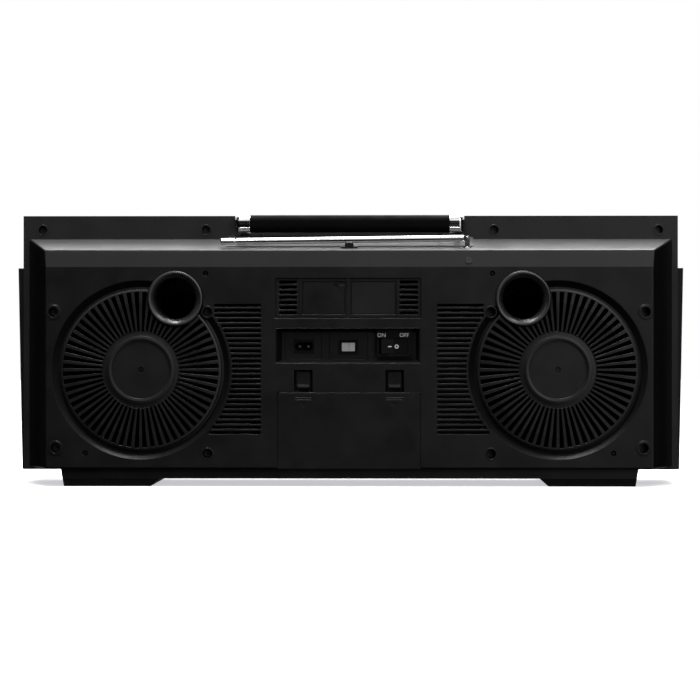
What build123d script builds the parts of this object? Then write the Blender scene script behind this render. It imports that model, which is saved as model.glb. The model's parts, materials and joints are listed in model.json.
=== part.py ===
from build123d import *

import math
import os

# A large portable stereo with two woofers, seen from behind as often as from the front.
# Millimetres. +Z is up, the front faces -Y, the back faces +Y. The origin is the centre of
# the bounding box's underside, on the surface that the feet stand on.
# Depths, written as (low, high) pairs named depth, count backwards from the back of the flange.
# Left (+X) and right (-X) are as seen from behind.

FLANGE_Y = 30.0

# Cabinet
HALF_WIDTH = 330.0
CABINET_BOTTOM = 14.6
CABINET_TOP = 270.3
WALL = 3.0
SEAM_DEPTH = -22.0
FRONT_DEPTH = -108.0
TRUNK_FRONT_HALF = 324.0
TRUNK_BACK_HALF = 300.0
TRUNK_BOTTOM = 17.6
SLOPE_START = (0.0, 246.6)
SLOPE_END = (56.5, 234.0)
FACE_TOP = (60.0, 216.9)
FACE_DEPTH = 60.0
SLOPE = (SLOPE_START[1] - SLOPE_END[1]) / SLOPE_END[0]

EDGE_RADIUS = 2.0
FRONT_EDGE_RADIUS = 6.0
SEAM_GAP = 0.4
BASE_DEPTH = (-98.0, 48.0)

# Handle and its well
WELL_HALF = 115.0
WELL_FLOOR = 250.2
WELL_FRONT_DEPTH = -79.0
HANDLE_PIVOT = (-70.0, 261.6)
GRIP_DEPTH = 8.5
GRIP_SIZE = (27.0, 17.4)
GRIP_HALF_LENGTH = 100.0
ARM_OUTER = 113.0
HANDLE_PIN_RADIUS = 3.0
RUNNING_GAP = 0.05

# Antenna
ANTENNA_X = -117.0
ANTENNA_DEPTH = 43.0
ANTENNA_Z = 245.7
ANTENNA_DIP = 0.74
ANTENNA_SKEW = 0.3
ANTENNA_SEAT_Z = 235.4
ANTENNA_OUTER_END = 228.0
ANTENNA_TIP_LENGTH = 13.7
TUBE_RADII = (3.25, 2.75, 2.25, 1.75)
TUBE_WALL = 0.4
TUBE_START = 7.0
SWIVEL_RADIUS = 2.0
SWIVEL_DISC_RADIUS = 4.5
FORK_GAP = 1.6
FORK_THICKNESS = 1.5
FORK_HALF = 2.4
PAD_TOP = (249.0, 238.4)
PAD_DEPTH = 39.6
PAD_ENDS = (-124.0, 123.0)

# Speakers
SPEAKER = (205.8, 115.4)
WOOFER_HOLE_RADIUS = 82.0
GRILLE_RADIUS = 88.3
GRILLE_RIBS = 60
PORT = (171.6, 185.6)
PORT_RADIUS = 27.5
PORT_GAP = 0.4
HUB_SEAT = 54.6
PORT_BORE = 20.0
TWEETER = (122.0, 191.0)

# Vent slots beside the speakers
SLAT_COUNT = 26
SLAT_PITCH = 5.012
SLAT_TOP = 178.9
SLAT_HEIGHT = 3.1
SLAT_INNER_X = 87.0
SLAT_CLEAR_RADIUS = 90.5

# Centre column of the back
UPPER_RECESS = ((-71.1, 73.0), (166.3, 206.0))
PLATES = ((3.8, 46.0), (-46.0, -2.1))
PLATE_Z = (170.0, 202.6)
PLATE_GAP = 0.6
BORDER = 1.2
LOUVRE_COUNT = 7
LOUVRE_BOTTOM = 171.6
LOUVRE_PITCH = 5.05
LOUVRE_HEIGHT = 3.3
RECESS_RIDGES = ((-48.6, -47.3), (-0.6, 2.4), (47.3, 48.6))
LOUVRES = ((-68.1, -49.9), (51.5, 68.8))
CONNECTOR_RECESS = ((-70.3, 72.4), (121.7, 156.9))
CONNECTOR_FLOOR = ((-66.2, 66.6), (125.7, 153.1))
CONNECTOR_FLOOR_DEPTH = 48.0
INLET = (44.8, 138.5)
INLET_PIN_HALF_PITCH = 4.3
SELECTOR = (0.8, 138.0)
SWITCH = (-62.4, -27.0, 128.0, 155.7)
ROCKER_CENTRE = (-43.6, 138.7)
ROCKER_TILT = 6.0
ROCKER_DEPTH = 46.0

# Battery bay
DOOR_HALF = 70.3
DOOR_TOP = 93.1
DOOR_BOTTOM = 17.9
DOOR_THICKNESS = 2.6
DOOR_HINGE = (58.4, 19.2)
DOOR_PIN_RADIUS = 1.0
LATCH_X = 45.0

# Screw holes in the back, as (x, z)
FLANGE_SCREWS = ((310.5, 256.0), (145.2, 256.0))
RING_SCREWS = ((292.0, 172.5), (290.0, 38.3))
DEEP_SCREWS = ((139.7, 32.6), (139.8, 172.4))
SMALL_SCREWS = ((141.4, 210.5), (260.5, 33.3))
ANTENNA_SCREW = (-118.0, 223.2)
FLANGE_SEAT = -11.0
DEEP_SEAT = 43.0
SMALL_SEAT = 57.0
DEEP_HOLE_RADIUS = 4.8
FLANGE_HOLE_RADIUS = 4.4
SMALL_HOLE_RADIUS = 2.6

# Front
CONTROL_BAND = (217.0, 262.0)
DIAL = (90.0, 160.0, 205.0)
DECK = (62.0, 60.0, 152.0)
DECK_DOOR_HINGE = (-107.5, 67.0)
KEY_NAMES = ("record", "play", "rewind", "forward", "stop", "pause")
KEY_PITCH = 19.6
KEY_WIDTH = 18.6
KEY_Z = (37.0, 55.0)
KNOB_Z = 239.5
KNOBS = {"volume_knob": (-262.0, 17.0), "tone_knob": (-212.0, 11.0), "tuning_knob": (262.0, 17.0)}
KNOB_FRONT_DEPTH = -122.0
KNOB_SHAFT_RADIUS = 3.0
CONTROL_FRONT = -110.5
DIAL_BACK = -98.0
DECK_PIN_RADIUS = 1.5

SIDES = {"left": 1, "right": -1}


def block(x, depth, z):
    """A box from its (low, high) pairs across, in depth and in height."""
    size = [high - low for low, high in (x, depth, z)]
    return Pos(sum(x) / 2, FLANGE_Y + sum(depth) / 2, sum(z) / 2) * Box(*size)


def rod(x, z, depth, radius):
    """A cylinder that runs front to back."""
    at = Pos(x, FLANGE_Y + sum(depth) / 2, z)
    return at * Rot(90, 0, 0) * Cylinder(radius, depth[1] - depth[0])


def pin(x, depth, z, radius):
    """A cylinder that runs across, between the pair x."""
    return Pos(sum(x) / 2, FLANGE_Y + depth, z) * Rot(0, 90, 0) * Cylinder(radius, x[1] - x[0])


def post(x, depth, z, radius):
    """An upright cylinder between the pair z."""
    return Pos(x, FLANGE_Y + depth, sum(z) / 2) * Cylinder(radius, z[1] - z[0])


def across(points, x):
    """A (depth, z) outline, drawn along X between the pair x."""
    outline = Polygon(*[(FLANGE_Y + depth, z) for depth, z in points])
    return extrude(Plane.YZ.offset(x[0]) * outline, x[1] - x[0], dir=(1, 0, 0))


def through(points, depth):
    """An (x, z) outline, drawn front to back between the pair depth."""
    start = Plane.XZ.offset(-(FLANGE_Y + depth[1]))
    return extrude(start * Polygon(*points), depth[1] - depth[0], dir=(0, -1, 0))


def upright(points, z):
    """An (x, depth) outline, drawn upwards between the pair z."""
    outline = Polygon(*[(x, FLANGE_Y + depth) for x, depth in points])
    return extrude(Plane.XY.offset(z[0]) * outline, z[1] - z[0], dir=(0, 0, 1))


def turned(points, x, z):
    """A (radius, depth) outline turned about the front-to-back line through (x, z)."""
    outline = Polygon(*[(radius, FLANGE_Y + depth) for radius, depth in points])
    return Pos(x, 0, z) * revolve(outline, Axis.Y)


def ring(x, z, depth, outer, inner):
    """A round tube that runs front to back."""
    return rod(x, z, depth, outer) - rod(x, z, depth, inner)


def mirrored_x(pair, side):
    """A pair across, taken to the left (+X) or the right (-X) side."""
    return tuple(sorted(side * value for value in pair))


def shrunk(pair, margin):
    """A (low, high) pair drawn in by margin at both ends."""
    return (pair[0] + margin, pair[1] - margin)


def save(name, solid):
    export_step(solid, f"parts/{name}.step")


# Cabinet


def trunk(inset, back_depth):
    """The body behind the flange: sloped top, upright back and sides that draw in."""
    profile = [
        (-0.01, TRUNK_BOTTOM + inset),
        (back_depth, TRUNK_BOTTOM + inset),
        (back_depth, FACE_TOP[1] - 0.6 * inset),
        (SLOPE_END[0] - 0.8 * inset, SLOPE_END[1] - 0.9 * inset),
        (-0.01, SLOPE_START[1] - inset),
    ]
    plan = [
        (-TRUNK_FRONT_HALF + inset, -0.01),
        (TRUNK_FRONT_HALF - inset, -0.01),
        (TRUNK_BACK_HALF - inset, back_depth),
        (-TRUNK_BACK_HALF + inset, back_depth),
    ]
    return across(profile, (-HALF_WIDTH, HALF_WIDTH)) & upright(plan, (0, CABINET_TOP))


def cabinet_ring(depth, inset):
    """The plain rectangular body in front of the trunk."""
    half = HALF_WIDTH - inset
    return block((-half, half), depth, (CABINET_BOTTOM + inset, CABINET_TOP - inset))


def well(depth, margin):
    """The space cut out of the top for the handle, grown by margin."""
    half = WELL_HALF + margin
    return block((-half, half), depth, (WELL_FLOOR - margin, CABINET_TOP + 1))


def screw_places(places):
    """Each place on both sides."""
    return [(side * x, z) for x, z in places for side in (1, -1)]


def slat_end(z):
    """How far out a vent slot runs before it meets the speaker's circle or a screw hole."""
    rise = abs(z - SPEAKER[1])
    end = SPEAKER[0] - math.sqrt(SLAT_CLEAR_RADIUS**2 - rise**2)
    hole_x, hole_z = DEEP_SCREWS[1]
    if abs(z - hole_z) < 7:
        end = min(end, hole_x - 7)
    return min(end, 138.5)


def vent_slots(side):
    """The stack of level slots between a speaker and the centre column."""
    slots = Part()
    for number in range(SLAT_COUNT):
        z = SLAT_TOP - number * SLAT_PITCH
        x = mirrored_x((SLAT_INNER_X, slat_end(z)), side)
        slots += block(x, (50, 62), (z - SLAT_HEIGHT / 2, z + SLAT_HEIGHT / 2))
    return slots


def louvre_slots(x):
    """Seven short slots at one end of the upper recess."""
    slots = Part()
    for number in range(LOUVRE_COUNT):
        z = LOUVRE_BOTTOM + number * LOUVRE_PITCH
        slots += block(x, (50, 62), (z - LOUVRE_HEIGHT / 2, z + LOUVRE_HEIGHT / 2))
    return slots


def rear_bosses():
    """Thickened seats inside the back for screws, latches, plates and the antenna."""
    bosses = Part()
    for x, z in screw_places(RING_SCREWS):
        bosses += rod(x, z, (DEEP_SEAT - 3, FACE_DEPTH + 0.5), 7.6)
        bosses += rod(x, z, (FACE_DEPTH, FACE_DEPTH + 0.9), 6.8)
    for x, z in screw_places(DEEP_SCREWS):
        bosses += rod(x, z, (DEEP_SEAT - 3, FACE_DEPTH + 0.4), 6.0)
    for x, z in screw_places(FLANGE_SCREWS):
        bosses += rod(x, z, (FLANGE_SEAT - 4, 0.4), 5.6)
    for side in (1, -1):
        latch = mirrored_x((LATCH_X - 11.1, LATCH_X + 11.1), side)
        bosses += block(latch, (42.5, 58), (93.4, 117.3))
    bosses += block((-73, 75), (54, 58), (164, 208))
    bosses += post(ANTENNA_X, ANTENNA_DEPTH, (222, ANTENNA_SEAT_Z), 7.5)
    return bosses


def antenna_pad():
    """The low platform that the antenna lies above."""
    high, low = PAD_TOP
    points = [(-1, high - 4), (PAD_DEPTH, low - 4), (PAD_DEPTH, low), (-1, high)]
    return across(points, PAD_ENDS)


def make_rear_cabinet():
    body = trunk(0, FACE_DEPTH)
    body = fillet(body.edges().filter_by(lambda edge: edge.center().Y > FLANGE_Y + 5), EDGE_RADIUS)
    shell = cabinet_ring((SEAM_DEPTH, 0), 0) + body + antenna_pad()
    shell -= cabinet_ring((SEAM_DEPTH - 1, -WALL), WALL)
    shell -= trunk(WALL, FACE_DEPTH - WALL)
    inner = TRUNK_FRONT_HALF - WALL
    shell -= block((-inner, inner), (-WALL - 1, 0.5), (TRUNK_BOTTOM + WALL, SLOPE_START[1] - WALL))
    for side in SIDES.values():
        shell -= rod(side * SPEAKER[0], SPEAKER[1], (43, 62), GRILLE_RADIUS + 0.1)
    shell += rear_bosses()
    shell += well((SEAM_DEPTH, 0), WALL) & cabinet_ring((SEAM_DEPTH, 0), 0)
    shell -= well((SEAM_DEPTH - 1, 80), 0)
    for x in (-89.5, 89.5):
        shell += block((x - 2, x + 2), (-3, 0), (WELL_FLOOR - 1, WELL_FLOOR + 2.0))
    for side in SIDES.values():
        shell -= rod(side * PORT[0], PORT[1], (40, 70), PORT_RADIUS + PORT_GAP)
        shell -= vent_slots(side)
        window = mirrored_x((LATCH_X - 9.1, LATCH_X + 9.1), side)
        shell -= block(window, (44.5, 62), (DOOR_TOP, 115.3))
        hinge_hole = mirrored_x((70, 74), side)
        shell -= pin(hinge_hole, *DOOR_HINGE, DOOR_PIN_RADIUS + RUNNING_GAP)
    recess_x, recess_z = UPPER_RECESS
    shell -= block(recess_x, (58.6, 62), recess_z)
    border = block(recess_x, (57.4, 59), recess_z)
    shell -= border - block(shrunk(recess_x, BORDER), (57, 60), shrunk(recess_z, BORDER))
    for louvre, plate in zip(LOUVRES, PLATES):
        shell -= louvre_slots(louvre)
        shell -= block(plate, (56.2, 62), PLATE_Z)
    for ridge in RECESS_RIDGES:
        shell += block(ridge, (58, 59.8), recess_z)
    shell -= block(CONNECTOR_RECESS[0], (50, 62), CONNECTOR_RECESS[1])
    door_half = DOOR_HALF + 0.3
    shell -= block((-door_half, door_half), (50, 62), (TRUNK_BOTTOM + WALL, DOOR_TOP + 0.3))
    shell -= block((-door_half, door_half), (56.0, 62), (TRUNK_BOTTOM - 1, 30))
    for x, z in screw_places(RING_SCREWS + DEEP_SCREWS):
        shell -= rod(x, z, (DEEP_SEAT, 64), DEEP_HOLE_RADIUS)
    for x, z in screw_places(FLANGE_SCREWS):
        shell -= rod(x, z, (FLANGE_SEAT, 1), FLANGE_HOLE_RADIUS)
    for x, z in screw_places(SMALL_SCREWS):
        shell -= rod(x, z, (SMALL_SEAT, 62), SMALL_HOLE_RADIUS)
    shell -= post(ANTENNA_X, ANTENNA_DEPTH, (ANTENNA_SEAT_Z, 256), SWIVEL_DISC_RADIUS + 0.4)
    shell -= post(ANTENNA_X, ANTENNA_DEPTH, (226, 256), SWIVEL_RADIUS + RUNNING_GAP)
    return shell


def make_front_cabinet():
    depth = (FRONT_DEPTH, SEAM_DEPTH - SEAM_GAP)
    box = cabinet_ring(depth, 0)
    box = fillet(box.edges().group_by(Axis.Y)[0], FRONT_EDGE_RADIUS)
    shell = box - cabinet_ring((FRONT_DEPTH + WALL, SEAM_DEPTH + 1), WALL)
    shell += well((WELL_FRONT_DEPTH - WALL, depth[1]), WALL) & box
    shell -= well((WELL_FRONT_DEPTH, SEAM_DEPTH + 1), 0)
    dial_half, dial_low, dial_high = DIAL
    pocket_depth = (FRONT_DEPTH + WALL - 0.5, DIAL_BACK + WALL)
    shell += block((-dial_half - WALL, dial_half + WALL), pocket_depth, (dial_low - WALL, dial_high + WALL))
    shell -= block((-dial_half, dial_half), (FRONT_DEPTH - 1, DIAL_BACK), (dial_low, dial_high))
    shell -= block((-74, 74), (DIAL_BACK - 1, DIAL_BACK + WALL + 1), (dial_low + 2, dial_low + 7))
    front = (FRONT_DEPTH - 1, FRONT_DEPTH + WALL + 1)
    for side in SIDES.values():
        shell -= rod(side * SPEAKER[0], SPEAKER[1], front, WOOFER_HOLE_RADIUS)
        shell -= rod(side * TWEETER[0], TWEETER[1], front, 20.0)
        hinge_hole = mirrored_x((WELL_HALF - 1, WELL_HALF + WALL + 1), side)
        shell -= pin(hinge_hole, *HANDLE_PIVOT, HANDLE_PIN_RADIUS + RUNNING_GAP)
    deck_half, deck_low, deck_high = DECK
    shell -= block((-deck_half, deck_half), front, (deck_low, deck_high))
    keys_half = key_x(len(KEY_NAMES) - 1) + KEY_WIDTH / 2 + 0.5
    shell -= block((-keys_half, keys_half), front, (KEY_Z[0] - 0.5, KEY_Z[1] + 0.5))
    for x, _ in KNOBS.values():
        shell -= rod(x, KNOB_Z, front, KNOB_SHAFT_RADIUS + RUNNING_GAP)
    return shell


def make_side_cheek(side):
    """The thin wedge-shaped trim on each end of the front body."""
    outline = [(HALF_WIDTH, 217.7), (336.0, 217.7), (332.0, CABINET_BOTTOM), (HALF_WIDTH, CABINET_BOTTOM)]
    return through([(side * x, z) for x, z in outline], (FRONT_DEPTH + 8, -6))


def make_base_plate():
    under_front = [(-284.4, 7.6), (284.4, 7.6), (285.6, CABINET_BOTTOM), (-285.6, CABINET_BOTTOM)]
    under_trunk = [(-285.6, 14.0), (285.6, 14.0), (286.0, TRUNK_BOTTOM), (-286.0, TRUNK_BOTTOM)]
    return through(under_front, BASE_DEPTH) + through(under_trunk, (0.3, BASE_DEPTH[1]))


def make_foot(side):
    outline = [(188.6, 7.6), (197.0, 0), (283.0, 0), (284.4, 7.6)]
    return through([(side * x, z) for x, z in outline], BASE_DEPTH)


# Back of the cabinet


def rear_grille_outline():
    """Half of the dish's section: hub, ribs, gutter and sloped rim, before the slots are cut."""
    return [
        (0, 57.5),
        (28.6, 57.5),
        (28.6, 59.0),
        (31.0, 59.4),
        (33.5, 59.0),
        (33.5, 57.4),
        (38.0, 57.0),
        (38.0, 58.3),
        (66.0, 58.5),
        (77.8, 57.8),
        (79.6, 57.2),
        (80.0, 53.4),
        (82.0, 52.4),
        (GRILLE_RADIUS, 60.0),
        (GRILLE_RADIUS, 50.0),
        (0, 50.0),
    ]


def make_rear_grille(side):
    x, z = side * SPEAKER[0], SPEAKER[1]
    dish = turned(rear_grille_outline(), x, z)
    slots = Part()
    slot = through([(38.2, -1.1), (77.0, -2.3), (77.0, 2.3), (38.2, 1.1)], (48, 62))
    for number in range(GRILLE_RIBS):
        slots += Pos(x, 0, z) * Rot(0, (number + 0.5) * 360 / GRILLE_RIBS, 0) * slot
    dish -= slots
    dish -= rod(x, z, (HUB_SEAT, 60), 2.9)
    dish -= rod(side * PORT[0], PORT[1], (40, 70), PORT_RADIUS + PORT_GAP)
    hole_x, hole_z = DEEP_SCREWS[1]
    dish -= rod(side * hole_x, hole_z, (40, 70), 6.3)
    return largest(dish)


def largest(part):
    """The biggest solid of a part, without the chips that a cut leaves loose."""
    return max(part.solids(), key=lambda solid: solid.volume)


def make_bass_port(side):
    outline = [
        (PORT_RADIUS, 50),
        (PORT_RADIUS, 60.8),
        (26.8, 61.8),
        (25.6, 62.2),
        (24.2, 61.9),
        (22.4, 60.9),
        (21.0, 59.4),
        (PORT_BORE + 0.3, 57.6),
        (PORT_BORE, 55.8),
        (PORT_BORE, -20),
        (PORT_BORE + 2, -20),
        (PORT_BORE + 2, 50),
    ]
    return turned(outline, side * PORT[0], PORT[1])


def screw_head(radius, height):
    """A low cylinder head with a cross recess, standing on Z=0."""
    head = Pos(0, 0, height / 2) * Cylinder(radius, height)
    arm = 0.72 * radius
    for angle in (45, 135):
        head -= Pos(0, 0, height) * Rot(0, 0, angle) * Box(2 * arm, 0.3 * radius, 0.9 * height)
    return head


def screws_in(places, depth, radius, height):
    """One screw head on the floor of each hole, on both sides."""
    head = Rot(-90, 0, 0) * screw_head(radius, height)
    return [Pos(x, FLANGE_Y + depth, z) * head for x, z in screw_places(places)]


def make_cabinet_screws():
    """The blackened screws at the bottom of the deep holes."""
    screws = screws_in(RING_SCREWS + DEEP_SCREWS, DEEP_SEAT, 3.6, 2.4)
    screws += screws_in(FLANGE_SCREWS, FLANGE_SEAT, 3.6, 2.4)
    return Compound(children=[screw.solids()[0] for screw in screws])


def make_bright_screws():
    """The small plated screws near the surface, and the one that holds the antenna's seat."""
    screws = screws_in(SMALL_SCREWS, SMALL_SEAT, 1.1, 1.2)
    screws += screws_in((SPEAKER,), HUB_SEAT, 1.3, 1.4)
    lean = math.degrees(math.atan2(FACE_TOP[0] - SLOPE_END[0], SLOPE_END[1] - FACE_TOP[1]))
    x, z = ANTENNA_SCREW
    depth = FACE_TOP[0] - (z - FACE_TOP[1]) * math.tan(math.radians(lean))
    at = Pos(x, FLANGE_Y + depth, z) * Rot(lean - 90, 0, 0)
    screws.append(at * Pos(0, 0, 0.02) * screw_head(3.2, 1.3))
    return Compound(children=[screw.solids()[0] for screw in screws])


def make_connector_panel():
    """The tub with sloped walls that holds the mains inlet, the selector and the switch."""
    (start, end), (low, high) = CONNECTOR_RECESS
    panel = block((start + 0.2, end - 0.2), (45.5, FACE_DEPTH), (low + 0.2, high - 0.2))
    floor_x, floor_z = CONNECTOR_FLOOR
    floor, mouth = CONNECTOR_FLOOR_DEPTH, FACE_DEPTH + 0.01
    profile = [(floor, floor_z[0]), (floor, floor_z[1]), (mouth, high - 0.8), (mouth, low + 0.8)]
    plan = [(floor_x[0], floor), (floor_x[1], floor), (end - 0.8, mouth), (start + 0.8, mouth)]
    panel -= across(profile, (start, end)) & upright(plan, (low, high))
    for x in (62.6, 26.6, 18.6, -19.0):
        panel += block((x - 0.6, x + 0.6), (floor - 0.5, floor + 1.2), floor_z)
    inlet_x, inlet_z = INLET
    panel -= block((inlet_x - 10, inlet_x + 10), (44, 50), (inlet_z - 6.7, inlet_z + 6.7))
    x, z = SELECTOR
    panel -= block((x - 9.6, x + 9.6), (44, 50), (z - 7.1, z + 7.1))
    panel -= block(SWITCH[:2], (44, 62), SWITCH[2:])
    return panel


def inlet_socket(depth):
    """The figure-of-eight cavity: two round lobes joined by a narrower bridge."""
    x, z = INLET
    lobes = [rod(x + side * INLET_PIN_HALF_PITCH, z, depth, 4.4) for side in SIDES.values()]
    return lobes[0] + lobes[1] + block((x - 4.3, x + 4.3), depth, (z - 4.2, z + 4.2))


def make_ac_inlet():
    x, z = INLET
    body = block((x - 9.85, x + 9.85), (30, 48.6), (z - 6.6, z + 6.6))
    return body - inlet_socket((33, 50))


def make_ac_inlet_pins():
    x, z = INLET
    pins = [rod(x + side * INLET_PIN_HALF_PITCH, z, (33.05, 44.0), 1.2) for side in SIDES.values()]
    return Compound(children=[one.solids()[0] for one in pins])


def make_voltage_selector_body():
    x, z = SELECTOR
    body = block((x - 9.5, x + 9.5), (41, 49.0), (z - 7, z + 7))
    return body - block((x - 7.65, x + 7.65), (42.5, 50), (z - 5.2, z + 5.2))


def make_voltage_slider():
    x, z = SELECTOR
    slider = block((x - 6.45, x + 6.45), (42.9, 47.6), (z - 4.2, z + 4.2))
    return slider - block((x - 1.0, x + 1.0), (46.8, 48), (z - 3, z + 3))


def make_power_switch_housing():
    low_x, high_x, low_z, high_z = SWITCH
    housing = block((low_x + 0.15, high_x - 0.15), (40, 54.0), (low_z + 0.15, high_z - 0.15))
    x, z = ROCKER_CENTRE
    housing -= block((x - 13.9, x + 13.9), (41.5, 55), (z - 7.9, z + 7.9))
    return housing - post(x, ROCKER_DEPTH, (z - 9.2, z + 9.2), 1.0 + RUNNING_GAP)


def make_power_rocker():
    """A shallow dished rocker on an upright pin, resting with its outer end pressed in."""
    x, z = ROCKER_CENTRE
    outline = [(-12.8, 8.8), (0, 7.4), (12.8, 8.8), (12.8, 3), (5, -3), (-5, -3), (-12.8, 3)]
    points = [(x + across_x, ROCKER_DEPTH + depth) for across_x, depth in outline]
    rocker = upright(points, (z - 7.5, z + 7.5)) + post(x, ROCKER_DEPTH, (z - 9, z + 9), 1.0)
    pivot = Pos(x, FLANGE_Y + ROCKER_DEPTH, 0)
    return pivot * Rot(0, 0, ROCKER_TILT) * pivot.inverse() * rocker


def make_plate(x):
    """A thin blank plate set in the upper recess."""
    return block(shrunk(x, PLATE_GAP), (56.2, 58.0), shrunk(PLATE_Z, PLATE_GAP))


def make_access_cover():
    """The blank plate with a round trimmer hole and the notch that leads to it."""
    cover = make_plate(PLATES[0])
    cover -= block((4.0, 10.0), (57.4, 59), (199.0, 202.4))
    return cover - rod(13.0, 198.0, (57.0, 59), 2.2)


# Battery bay


def make_battery_box():
    box = block((-70.2, 70.2), (-16.5, 57.0), (20.7, 93.0))
    return box - block((-68.2, 68.2), (-14.5, 58), (22.5, 91.4))


def make_battery_contacts():
    """Flat plates at one end of the bay and sprung cones at the other, one for each row of cells."""
    pieces = []
    for z in (39.8, 74.1):
        for depth in (3.0, 37.5):
            pieces.append(block((-68.1, -67.5), (depth - 7, depth + 7), (z - 7, z + 7)))
            plate = block((67.5, 68.1), (depth - 7, depth + 7), (z - 7, z + 7))
            cone = Pos(64.6, FLANGE_Y + depth, z) * Rot(0, -90, 0) * Cone(6, 3.5, 6)
            pieces.append(plate + cone)
    return Compound(children=[piece.solids()[0] for piece in pieces])


def make_battery_door():
    """A flush door that swings down on two stub pins; rails at its top carry the latches."""
    inner = FACE_DEPTH - DOOR_THICKNESS
    door = block((-DOOR_HALF, DOOR_HALF), (inner, FACE_DEPTH), (DOOR_BOTTOM, DOOR_TOP - 0.2))
    upper_corners = door.edges().filter_by(Axis.Y).sort_by(Axis.Z)[-2:]
    door = fillet(upper_corners, 2.5)
    for side in SIDES.values():
        door += pin(mirrored_x((DOOR_HALF - 1, DOOR_HALF + 2.6), side), *DOOR_HINGE, DOOR_PIN_RADIUS)
        for rail_x in (LATCH_X - 5.9, LATCH_X + 5.9):
            rail = (side * rail_x - 0.5, side * rail_x + 0.5)
            door += block(rail, (49.8, 53.1), (DOOR_TOP + 0.2, 106.0))
            door += block(rail, (52.0, 58.4), (DOOR_TOP + 0.2, DOOR_TOP + 1.1))
            door += block(rail, (57.2, 58.4), (88.0, DOOR_TOP + 1.1))
        x = side * LATCH_X
        for z in (86.4, 88.6):
            door -= block((x - 8.0, x + 8.0), (FACE_DEPTH - 0.4, FACE_DEPTH + 1), (z - 0.4, z + 0.4))
        mark = [(x - 4.0, 83.6), (x, 78.4), (x + 4.0, 83.6)]
        door -= through(mark, (59.5, 61))
    return door


def make_battery_latch(side):
    """A sprung tab that is pressed down towards the door."""
    x = side * LATCH_X
    latch = block((x - 6.7, x + 6.7), (53.4, 56.6), (97.2, 113.4))
    latch += block((x - 5.1, x + 5.1), (50.1, 53.5), (98.0, 105.0))
    ledge = [(56.4, 97.4), (59.0, 98.0), (58.6, 99.8), (56.4, 101.2)]
    return latch + across(ledge, (x - 5.6, x + 5.6))


# Speakers and inner parts


def make_woofer_frame(side):
    outline = [
        (87, -105),
        (87, -102),
        (81, -102),
        (49, -64),
        (45, -64),
        (45, -38),
        (0, -38),
        (0, -66),
        (43, -66),
        (73, -101),
        (73, -105),
    ]
    return turned(outline, side * SPEAKER[0], SPEAKER[1])


def make_woofer_cone(side):
    outline = [
        (0, -83.5),
        (9, -82),
        (18, -77.8),
        (60, -103),
        (66, -106.5),
        (72.9, -104.6),
        (72.9, -103.2),
        (66, -104.6),
        (61, -101.4),
        (19, -76),
        (0, -76),
    ]
    return turned(outline, side * SPEAKER[0], SPEAKER[1])


def make_tweeter(side):
    outline = [
        (0, -110.5),
        (6, -109.8),
        (10, -107.6),
        (12, -107),
        (19, -109.8),
        (23, -109.8),
        (24, -108.05),
        (19.8, -108.05),
        (19.8, -100),
        (14, -100),
        (14, -88),
        (0, -88),
    ]
    return turned(outline, side * TWEETER[0], TWEETER[1])


def make_speaker_grille(side):
    outline = [
        (0, -114),
        (45, -113.4),
        (80, -111),
        (84, -111),
        (88, -109.5),
        (88, -108.05),
        (83.2, -108.05),
        (83.2, -109.2),
        (80, -109.8),
        (45, -112.2),
        (0, -112.8),
    ]
    return turned(outline, side * SPEAKER[0], SPEAKER[1])


def make_main_circuit_board():
    board = block((-150, 150), (-46, -44.4), (168, 240))
    board += block((-120, -60), (-44.4, -20), (200, 236))
    for x in (-20, 10, 40):
        board += rod(x, 215, (-44.5, -22), 9)
    return board + block((70, 130), (-44.5, -38), (180, 230))


def make_power_transformer():
    core = block((84, 136), (-14, 32), (20.7, 64))
    return core + block((92, 128), (-22, 40), (28, 57))


# Front


def key_x(number):
    """The middle of a key, counted from the -X end."""
    return (number - (len(KEY_NAMES) - 1) / 2) * KEY_PITCH


def make_control_panel():
    panel = block((-312, 312), (CONTROL_FRONT, FRONT_DEPTH - 0.05), CONTROL_BAND)
    panel = fillet(panel.edges().filter_by(Axis.Y), 4.0)
    for x, _ in KNOBS.values():
        panel -= rod(x, KNOB_Z, (-112, -107), KNOB_SHAFT_RADIUS + RUNNING_GAP)
    return panel


def make_knob(x, radius):
    outline = [
        (0, KNOB_FRONT_DEPTH + 1.0),
        (radius - 5, KNOB_FRONT_DEPTH + 1.0),
        (radius - 3.5, KNOB_FRONT_DEPTH),
        (radius - 1.5, KNOB_FRONT_DEPTH),
        (radius - 0.6, KNOB_FRONT_DEPTH + 1.0),
        (radius, CONTROL_FRONT - 0.6),
        (KNOB_SHAFT_RADIUS, CONTROL_FRONT - 0.6),
        (KNOB_SHAFT_RADIUS, -97),
        (0, -97),
    ]
    return turned(outline, x, KNOB_Z)


def make_dial_window():
    half, low, high = DIAL
    return block((-half + 0.3, half - 0.3), (FRONT_DEPTH, FRONT_DEPTH + 1.8), (low + 0.3, high - 0.3))


def make_dial_pointer():
    low, high = DIAL[1], DIAL[2]
    needle = block((-0.8, 0.8), (-103.6, -101.6), (low + 3.2, high - 3))
    return needle + block((-0.8, 0.8), (-103.6, -92), (low + 3.2, low + 5.8))


def make_cassette_deck():
    half, low, high = DECK
    deck = block((-half + 0.2, half - 0.2), (FRONT_DEPTH, -66), (low + 0.2, high - 0.2))
    deck -= block((-half + 2.2, half - 2.2), (FRONT_DEPTH - 1, -68), (low + 2.2, high - 2.2))
    for side in SIDES.values():
        deck += rod(side * 21.0, 112.0, (-80, -67), 4.0)
        hinge_hole = mirrored_x((half - 3, half), side)
        deck -= pin(hinge_hole, *DECK_DOOR_HINGE, DECK_PIN_RADIUS + RUNNING_GAP)
    return deck + block((-30, 30), (-84, -67), (66, 76))


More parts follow.
